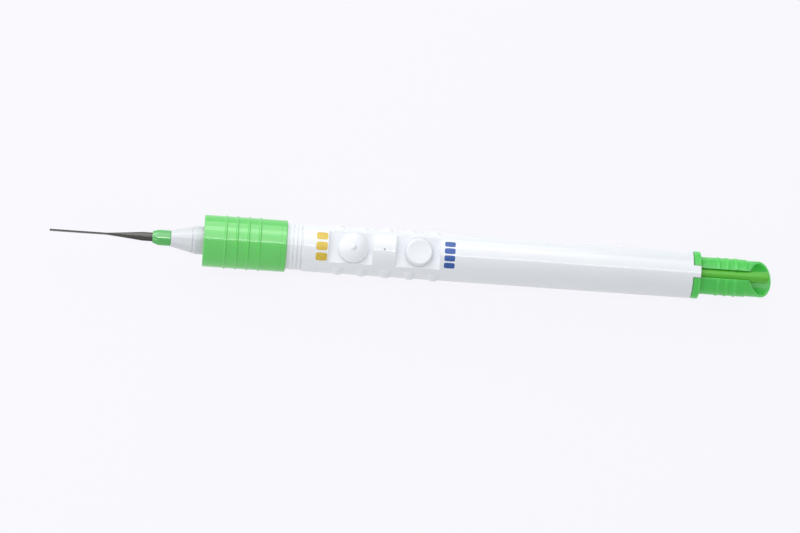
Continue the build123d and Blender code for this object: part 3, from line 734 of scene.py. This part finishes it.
@dataclass(frozen=True)
class Electrode(SubAssembly):
    """The electrode in its socket, with a hexagonal sleeve whose corners are softened."""

    finishes: ClassVar[Finishes] = {
        "blade_electrode": BLADE_STEEL,
        "electrode_socket": SOCKET_BRASS,
        "socket_wire": WIRE_INSULATION,
    }
    sides: int = 6  # flats of the sleeve
    corner_radius: float = 2.2 * MM  # distance of the hexagon's corners from the axis
    hex_length: float = 4.95 * MM
    bevel: float = 1.8 * MM  # length of the bevel at the front
    bevel_radius: float = 1.55 * MM  # radius of the front face
    bevel_reach: float = 1.2  # stretch of the sleeve that has close rows, as a share of the bevel
    bevel_rows: int = 28
    spigot_radius: float = 1.65 * MM
    bore: float = 1.22 * MM  # radius
    edge: float = 0.1 * MM  # size of the small bevels at the rear
    sharpness: float = 60.0  # power of the blend at the corners, which are sharper as it grows
    crowning: float = 0.3  # share of a circle in the flats, which makes them bulge
    segments: int = 180  # faces round the sleeve

    def build(self, shop: Workshop) -> None:
        """Makes the sleeve.

        A soft hexagon is where the sum of powers of a point's distances along six spokes, over the distance
        of the flats, is one. Its radius is then blended with its mean, which crowns the flats. The bevel is a
        cone, blended with the hexagon by the same power.
        """
        low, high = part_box("electrode_sleeve")
        front, rear = low.x - AXIS.front, high.x - AXIS.front
        hex_rear = front + self.hex_length
        angles = full_turn(self.segments)
        flat = self.corner_radius * math.cos(math.pi / self.sides)
        spokes = np.cos(angles.T - 2 * math.pi / self.sides * np.arange(self.sides)[None, :])
        power = self.sharpness
        soft = (np.maximum(spokes, 0) ** power).sum(axis=1) ** (1 / power)
        hexagon = (flat / soft)[None, :]
        hexagon += self.crowning * (hexagon.mean() - hexagon)
        close = np.linspace(front, front + self.bevel_reach * self.bevel, self.bevel_rows)
        stations = np.append(close, hex_rear - self.edge)
        slope = (self.corner_radius - self.bevel_radius) / self.bevel
        cone = (self.bevel_radius + slope * (stations - front))[:, None]
        outer = flat * ((hexagon / flat) ** -power + (cone / flat) ** -power) ** (-1 / power)
        outside = AXIS.turned(stations[:, None], outer, angles)
        shoulder = AXIS.turned(np.full((1, 1), hex_rear), outer[-1:] - self.edge, angles)
        spigot = self.spigot_radius
        rim = [(rear - self.edge, spigot), (rear, spigot - self.edge)]
        tail = np.array([(hex_rear, spigot), *rim, (rear, self.bore), (front, self.bore)])
        inside = AXIS.turned(tail[:, :1], tail[:, 1:], angles)
        grid = np.concatenate([outside, shoulder, inside])
        surface = Surface.of_grid(grid, ring=True)
        shop.piece("hex_sleeve", surface, SLEEVE_GREEN, Body.ELECTRODE, "sleeve_green", ("electrode_sleeve",))


class Crown(Enum):
    """Shape of a button's top."""

    DOME = "low dome with a nub"
    DISH = "flat top with a shallow dish"


@dataclass(frozen=True)
class Button:
    """A push button: a round cap on a split stem."""

    node: str  # CAD node that it takes the place of
    body: Body
    crown: Crown
    side: float  # height of the cap's side
    shoulder_radius: float  # radius where the side ends
    crown_radius: float  # radius where the crown starts
    edge: float  # rounding of the shoulder
    rise: float  # height of the dome, or depth of the dish
    nub_radius: float = 0.9 * MM
    nub_height: float = 0.38 * MM  # height of the nub over the dome
    nub_power: float = 1.2  # power of the nub's curve, which is more pointed as it grows
    cap_under: float = 5.45 * MM  # height of the cap's underside
    rim_edge: float = 0.15 * MM  # rounding of the cap's lower rim
    stem_radius: float = 1.6 * MM
    stem_root: float = 0.05 * MM  # rounding of the corner between stem and cap
    stem_edge: float = 0.03 * MM  # rounding of the unsplit stem's lower rim
    barb_radius: float = 1.95 * MM
    barb_top: float = 3.45 * MM  # height of the barbs' upper faces
    barb_height: float = 0.7 * MM
    barb_edge: float = 0.1 * MM  # height of the barbs' straight rims
    plunger_radius: float = 1.2 * MM
    split: float = 0.6 * MM
    split_top: float = 4.45 * MM  # height where the split ends
    overlap: float = 0.01 * MM  # how far the stem's halves reach into its unsplit end
    steps: int = 6  # pieces in an arc of the cap's outline
    crown_rows: int = 64  # rows of points on the crown
    segments: int = 144  # faces round the cap
    half_columns: int = 33  # points round a half of the stem

    def crown_height(self, radius: np.ndarray) -> np.ndarray:
        """Heights of the crown over its rim, at distances from the button's middle.

        The nub's share is a power of one less the square of the distance over the nub's radius.

        Args:
            radius: distances from the middle.

        Returns:
            The heights.
        """
        curve = cap_heights(radius, self.crown_radius, self.rise)
        if self.crown is Crown.DISH:
            return -curve
        nub = np.clip(1 - (radius / self.nub_radius) ** 2, 0, 1) ** self.nub_power
        return curve + self.nub_height * nub

    def cap(self, middle: Vector, radius: float) -> Surface:
        """The cap with the unsplit upper end of its stem.

        Args:
            middle: place of the button's axis at the height of the pencil's axis.
            radius: radius of the cap.

        Returns:
            The closed surface.
        """
        start = self.cap_under + self.side
        corners = [
            (0, self.split_top, 0),
            (self.stem_radius, self.split_top, self.stem_edge),
            (self.stem_radius, self.cap_under, self.stem_root),
            (radius, self.cap_under, self.rim_edge),
            (self.shoulder_radius, start, self.edge),
        ]
        rim = [(self.crown_radius, start, 0), (0, start, 0)]
        wall = filleted(corners + rim, self.steps)[: len(corners) * (self.steps + 1)]
        reach = self.crown_radius * np.linspace(1, 0, self.crown_rows)
        crown = np.stack([reach, start + self.crown_height(reach)], axis=-1)
        grid = spun(np.vstack([wall, crown]), middle, self.segments)
        return Surface.of_grid(grid, ring=False)

    def half_stem(self, middle: Vector, foot: float, side: int) -> Surface:
        """One half of the split stem, with its barb.

        At each height the half is a round of the stem's radius there, cut straight at half the split's width.
        Its angle runs to where that cut meets the round, whose cosine is the cut over the radius.

        Args:
            middle: place of the button's axis at the height of the pencil's axis.
            foot: height of the plunger's foot.
            side: 1 for the half towards +X and -1 for the other.

        Returns:
            The closed surface.
        """
        plunger = [(self.plunger_radius, foot), (self.plunger_radius, self.barb_top - self.barb_height)]
        barb = [(self.barb_radius, self.barb_top - self.barb_edge), (self.barb_radius, self.barb_top)]
        stem = [(self.stem_radius, self.barb_top), (self.stem_radius, self.split_top + self.overlap)]
        profile = np.array(plunger + barb + stem)
        radii, heights = profile[:, :1], np.repeat(profile[:, 1:], self.half_columns, axis=1)
        cut = self.split / 2
        angles = np.arccos(cut / radii) * np.linspace(-1, 1, self.half_columns)[None, :]
        rows = np.stack([radii * np.cos(angles), radii * np.sin(angles), heights], axis=-1)
        ends = rows[[0, -1]].copy()
        ends[..., 0] = (cut + radii[[0, -1]]) / 2
        ends[..., 1] = 0
        grid = np.concatenate([ends[:1], rows, ends[1:]]) * np.array((side, 1, 1)) + np.array(middle)
        return Surface.of_grid(grid, ring=False)

    def build(self, shop: Workshop) -> None:
        """Makes the button."""
        low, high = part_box(self.node)
        middle = upright_axis(self.node, AXIS.height)
        surface = self.cap(middle, (high.x - low.x) / 2)
        for side in (-1, 1):
            surface = surface.joined(self.half_stem(middle, low.z - AXIS.height, side))
        shop.piece(f"{self.node}_cap", surface, BUTTON_WHITE, self.body, "button_white", (self.node,))


CUT_BUTTON = Button(
    "cut_button", Body.CUT_KEY, Crown.DOME, side=0.5 * MM,
    shoulder_radius=4.05 * MM, crown_radius=3.83 * MM, edge=0.1 * MM, rise=0.85 * MM,
)
COAG_BUTTON = Button(
    "coag_button", Body.COAG_KEY, Crown.DISH, side=1.4 * MM,
    shoulder_radius=3.5 * MM, crown_radius=3.0 * MM, edge=0.45 * MM, rise=0.15 * MM,
)


@dataclass(frozen=True)
class SnapDome:
    """A spring dome under a button, made as it rests; the real dome flattens on the board as the button goes
    down.
    """

    node: str  # CAD node that it takes the place of
    joint: str  # joint of the button over it, not used
    foot_width: float = 0.3 * MM  # width of the ring that stands on the board
    thickness: float = 0.12 * MM  # thickness of the sheet at the top
    pressed: float = 0.2  # share of its height that is left when the button is down, not used
    rows: int = 24  # rows of points on each face
    segments: int = 96  # faces round the dome

    def build(self, shop: Workshop) -> None:
        """Makes the dome."""
        low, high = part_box(self.node)
        middle = upright_axis(self.node, low.z)
        radius, height = (high.x - low.x) / 2, high.z - low.z
        share = np.linspace(1, 0, self.rows)
        hollow = radius - self.foot_width
        outer = np.stack([share * radius, cap_heights(share * radius, radius, height)], axis=-1)
        reach = share[::-1] * hollow
        inner = np.stack([reach, cap_heights(reach, hollow, height - self.thickness)], axis=-1)
        grid = spun(np.vstack([outer, inner]), middle, self.segments)
        surface = Surface.of_grid(grid, ring=True)
        name = f"{self.node}_spring"
        dome = shop.piece(name, surface, DOME_STEEL, Body.HOUSING, "dome_steel", (self.node,))
        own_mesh(dome)


@dataclass(frozen=True)
class Switches(SubAssembly):
    """The two push buttons and their snap domes, on the board with its wires."""

    finishes: ClassVar[Finishes] = {
        "switch_board": BOARD_GREEN,
        "dome_spacer": SPACER_FILM,
        "cut_wire": WIRE_INSULATION,
        "coag_wire": WIRE_INSULATION,
        "supply_wire": WIRE_INSULATION,
    }
    buttons: tuple[Button, ...] = (CUT_BUTTON, COAG_BUTTON)
    domes: tuple[SnapDome, ...] = (SnapDome("cut_dome", "cut_press"), SnapDome("coag_dome", "coag_press"))

    def build(self, shop: Workshop) -> None:
        """Makes the buttons and the domes."""
        for piece in (*self.buttons, *self.domes):
            piece.build(shop)


@dataclass(frozen=True)
class GripNubs:
    """Crowns of the grip nubs along both sides of the upper shell."""

    count: int = 5  # nubs on a side
    first: float = 36.45 * MM  # station of the first nub
    pitch: float = 6.5 * MM
    half_length: float = 1.5 * MM  # half the length of a nub along the pencil
    foot: float = 0.05 * MM  # height where the crowns start, just over the shells' seam
    shoulder: float = 3.15 * MM  # height where a crown starts to fall off
    end: float = 3.85 * MM  # height where a crown has run out
    proud: float = 0.46 * MM  # height of a crown over the barrel
    skirt: float = 0.02 * MM  # depth of a crown's rim in the shell
    sink: float = 0.15 * MM  # depth of a crown's underside in the shell
    columns: int = 33  # points along a crown
    wall_rows: int = 12  # rows of points up to the shoulder
    fall_rows: int = 16  # rows of points from the shoulder to the end

    def crown(self, station: float, side: int) -> Surface:
        """One crown.

        It stands out by its full height times one less the square of the share along its length. Its upper
        end falls off by a smooth step, three times the square less twice the cube of the share that is left.

        Args:
            station: station of the crown's middle.
            side: 1 for the side towards +Y and -1 for the other.

        Returns:
            The closed surface.
        """
        share = np.linspace(-1, 1, self.columns)[None, :]
        wall = np.linspace(self.foot, self.shoulder, self.wall_rows)
        heights = np.append(wall, np.linspace(self.shoulder, self.end, self.fall_rows)[1:])
        left = np.clip((self.end - heights[:, None]) / (self.end - self.shoulder), 0, 1)
        fall = left**2 * (3 - 2 * left)
        radii = BARREL_RADIUS + (self.proud + self.skirt) * (1 - share**2) * fall - self.skirt
        angles = side * np.arccos(heights / BARREL_RADIUS)[:, None]
        stations = station + share * self.half_length
        upper = AXIS.turned(stations, radii, angles)
        under = AXIS.turned(stations[:, ::-1], np.full_like(radii, BARREL_RADIUS - self.sink), angles)
        loops = np.concatenate([upper, under], axis=1)
        ends = np.broadcast_to(loops[[0, -1]].mean(axis=1, keepdims=True), loops[[0, -1]].shape)
        grid = np.concatenate([ends[:1], loops, ends[1:]])
        return Surface.of_grid(grid, ring=False)

    def build(self, shop: Workshop) -> None:
        """Makes the crowns, in one piece for each side."""
        for name, side in (("near", -1), ("far", 1)):
            surface = self.crown(self.first, side)
            for number in range(1, self.count):
                surface = surface.joined(self.crown(self.first + number * self.pitch, side))
            shop.piece(f"grip_nubs_{name}", surface, HOUSING_WHITE, Body.HOUSING, "housing_white")


@dataclass(frozen=True)
class PrintRow:
    """A row of printed blocks round the barrel."""

    name: str  # start of the blocks' names
    ink: PrintInk
    count: int
    station: float  # station of the row's middle
    length: float  # length of a block along the pencil
    width: float  # width of a block round the barrel
    pitch: float  # angle between blocks in degrees
    lean: float  # angle of the row's middle from straight up in degrees
    coat: float = 0.03 * MM  # thickness of the ink
    squareness: float = 5.0  # power of the blocks' outline, which is squarer as it grows
    run_out: int = 6  # power by which the ink gets thinner towards the outline
    rows: int = 12  # rows of points from the middle to the outline
    segments: int = 72  # points round the outline

    def block(self, lean: float) -> Surface:
        """One block as a thin closed patch on the barrel.

        Its outline is a superellipse, where the powers of both half widths' shares add up to one. The ink is
        thickest in the middle, and gets thinner with a power of the share of the way to the outline.

        Args:
            lean: angle of the block's middle from straight up.

        Returns:
            The closed surface.
        """
        turn = full_turn(self.segments)
        power = 2 / self.squareness
        along = np.sign(np.cos(turn)) * np.abs(np.cos(turn)) ** power
        aside = np.sign(np.sin(turn)) * np.abs(np.sin(turn)) ** power
        share = np.linspace(0, 1, self.rows)[:, None]
        shares = np.vstack([share, share[::-1]])
        top = BARREL_RADIUS + self.coat * (1 - share**self.run_out)
        radii = np.vstack([top, np.full_like(share, BARREL_RADIUS - self.coat)])
        stations = self.station + shares * along * self.length / 2
        angles = lean + shares * aside * self.width / 2 / BARREL_RADIUS
        return Surface.of_grid(AXIS.turned(stations, radii, angles), ring=False)

    def build(self, shop: Workshop) -> None:
        """Makes the blocks."""
        steps = np.arange(self.count) - (self.count - 1) / 2
        for number, lean in enumerate(np.radians(self.lean + self.pitch * steps), 1):
            shop.piece(f"{self.name}_{number}", self.block(float(lean)), self.ink, Body.HOUSING)


YELLOW_ROW = PrintRow(
    "yellow_block", YELLOW_INK, 3, station=31.85 * MM, length=3.1 * MM, width=2.3 * MM, pitch=26.5, lean=-2.0
)
BLUE_ROW = PrintRow(
    "blue_block", BLUE_INK, 4, station=66.4 * MM, length=2.9 * MM, width=1.6 * MM, pitch=18.0, lean=-1.8
)


@dataclass(frozen=True)
class Housing(SubAssembly):
    """The barrel's two shells, with the crowns of their nubs and the print."""

    finishes: ClassVar[Finishes] = {"upper_shell": HOUSING_WHITE, "lower_shell": HOUSING_WHITE}
    nubs: GripNubs = GripNubs()
    prints: tuple[PrintRow, ...] = (YELLOW_ROW, BLUE_ROW)

    def build(self, shop: Workshop) -> None:
        """Makes the crowns and the printed blocks."""
        for feature in (self.nubs, *self.prints):
            feature.build(shop)


class RearPort(SubAssembly):
    """The rear port, with the lead along it and the ferrule that holds the lead."""

    finishes: ClassVar[Finishes] = {
        "rear_port": PORT_GREEN,
        "power_lead": LEAD_JACKET,
        "lead_ferrule": FERRULE_BRASS,
    }


@dataclass(frozen=True)
class Lamp:
    """A rectangular soft lamp that faces the pencil's line squarely."""

    name: str
    place: Triple
    size: tuple[float, float]  # width and height
    power: float  # in watts
    gloss_only: bool = False  # whether the lamp shows in gloss and adds no other light

    def build(self) -> None:
        """Makes the lamp."""
        light = bpy.data.lights.new(self.name, "AREA")
        light.shape = "RECTANGLE"
        light.size, light.size_y = self.size
        light.energy = self.power
        lamp = linked(self.name, light)
        lamp.location = self.place
        lamp.rotation_mode = "QUATERNION"
        lamp.rotation_quaternion = Vector((0, -self.place[1], -self.place[2])).to_track_quat("-Z", "Y")
        lamp.visible_diffuse = not self.gloss_only


@dataclass(frozen=True)
class Studio:
    """White floor, soft lamps and the camera at the photograph's angle."""

    lamps: tuple[Lamp, ...] = (
        Lamp("soft_wall", (-0.4, 0.45, 0.22), (1.0, 0.44), 2.55),
        Lamp("overhead_box", (-0.35, 0.31, 0.515), (1.3, 0.66), 5.5, gloss_only=True),
        Lamp("overhead_strip", (-0.3, 0.045, 0.6), (1.0, 0.02), 0.7),
        Lamp("front_fill", (-0.5, -0.3, 0.3), (0.7, 0.4), 0.85),
    )
    ambient: float = 0.56  # strength of the even light from all round
    tint: Colour = srgb(250, 249, 255)  # colour in which the floor and the sky show
    paint: Colour = (0.9, 0.9, 0.91)  # colour of the floor under the tint, which takes the shadow
    veil: float = 0.92  # share of the tint over the paint
    floor_reach: float = 3.0  # half the width of the floor
    floor_gap: float = 0.02 * MM  # gap between the floor and the pencil
    image_width: int = 800  # in pixels
    image_height: int = 533  # in pixels
    pixel: float = 0.27 * MM  # length on the pencil that one pixel covers
    focal_pixels: float = 4000.0  # focal length in pixels
    sensor_width: float = 36.0  # in millimetres
    sight: tuple[float, float] = (0.01, 20.0)  # nearest and farthest distance that the camera sees
    elevation: float = 81.0  # degrees of the camera above the floor
    lead_away: float = 3.0  # degrees by which the pencil's rear turns away from the camera
    roll: float = 4.0  # degrees by which the pencil slopes down to the right in the picture
    collar_pixel: tuple[float, float] = (203.5, 240.5)  # where the picture has the collar's front

    def camera(self) -> None:
        """Camera that sees the collar's front at its pixel and the axis at its slope."""
        lean, away, turn = (math.radians(angle) for angle in (self.elevation, self.lead_away, self.roll))
        back = Vector((-math.sin(away), -math.cos(away) * math.cos(lean), math.cos(away) * math.sin(lean)))
        along = (Vector((1, 0, 0)) - back * back.x).normalized()
        over = back.cross(along)
        right = along * math.cos(turn) + over * math.sin(turn)
        up = over * math.cos(turn) - along * math.sin(turn)
        aside = (self.collar_pixel[0] - self.image_width / 2) * self.pixel
        above = (self.image_height / 2 - self.collar_pixel[1]) * self.pixel
        collar_front = Vector((AXIS.front, 0, AXIS.height))
        lens = bpy.data.cameras.new("camera")
        lens.sensor_width = self.sensor_width
        lens.lens = self.sensor_width * self.focal_pixels / self.image_width
        lens.clip_start, lens.clip_end = self.sight
        camera = linked("camera", lens)
        turned = Matrix((right, up, back)).transposed().to_4x4()
        place = collar_front - right * aside - up * above + back * self.focal_pixels * self.pixel
        camera.matrix_world = Matrix.Translation(place) @ turned
        bpy.context.scene.camera = camera

    def world(self) -> None:
        """Even light from all round, and a white sky where a ray sees past the floor."""
        world = bpy.data.worlds.new("studio")
        tree = NodeTree(world, "ShaderNodeOutputWorld")
        even = tree.add("ShaderNodeBackground", Color=opaque((1, 1, 1)), Strength=self.ambient)
        sky = tree.add("ShaderNodeBackground", Color=opaque(self.tint), Strength=1.0)
        tree.show_blend(tree.seen_directly(), even.outputs["Background"], sky.outputs["Background"])
        bpy.context.scene.world = world

    def floor(self) -> None:
        """White floor that shows its own tint and keeps a faint shadow."""
        corners = np.array([(-1, -1, 0), (1, -1, 0), (1, 1, 0), (-1, 1, 0)], float) * self.floor_reach
        corners[:, 2] = CAD_BOX[0].z - self.floor_gap
        mesh = bpy.data.meshes.new("floor")
        mesh.from_pydata(corners.tolist(), [], [(0, 1, 2, 3)])
        material = bpy.data.materials.new("floor_white")
        tree = NodeTree(material, "ShaderNodeOutputMaterial")
        paint = tree.add("ShaderNodeBsdfDiffuse", Color=opaque(self.paint))
        shine = tree.add("ShaderNodeEmission", Color=opaque(self.tint), Strength=1.0)
        share = tree.combined("MULTIPLY", tree.seen_directly(), self.veil)
        tree.show_blend(share, paint.outputs["BSDF"], shine.outputs["Emission"])
        mesh.materials.append(material)
        floor = linked("floor", mesh)

    def build(self) -> None:
        """Sets the view settings and builds the sky, the floor, the lamps and the camera."""
        bpy.context.scene.view_settings.view_transform = "Standard"
        self.world()
        self.floor()
        for lamp in self.lamps:
            lamp.build()
        self.camera()


def main() -> None:
    """Builds the pencil's looks and its studio in order."""
    logging.basicConfig(level=logging.INFO, format="%(name)s: %(message)s")
    shop = Workshop()
    for assembly in (Nozzle(), Electrode(), Switches(), Housing(), RearPort()):
        assembly.build(shop)
        assembly.dress(shop)
    Studio().build()


if __name__ == "__main__":
    main()
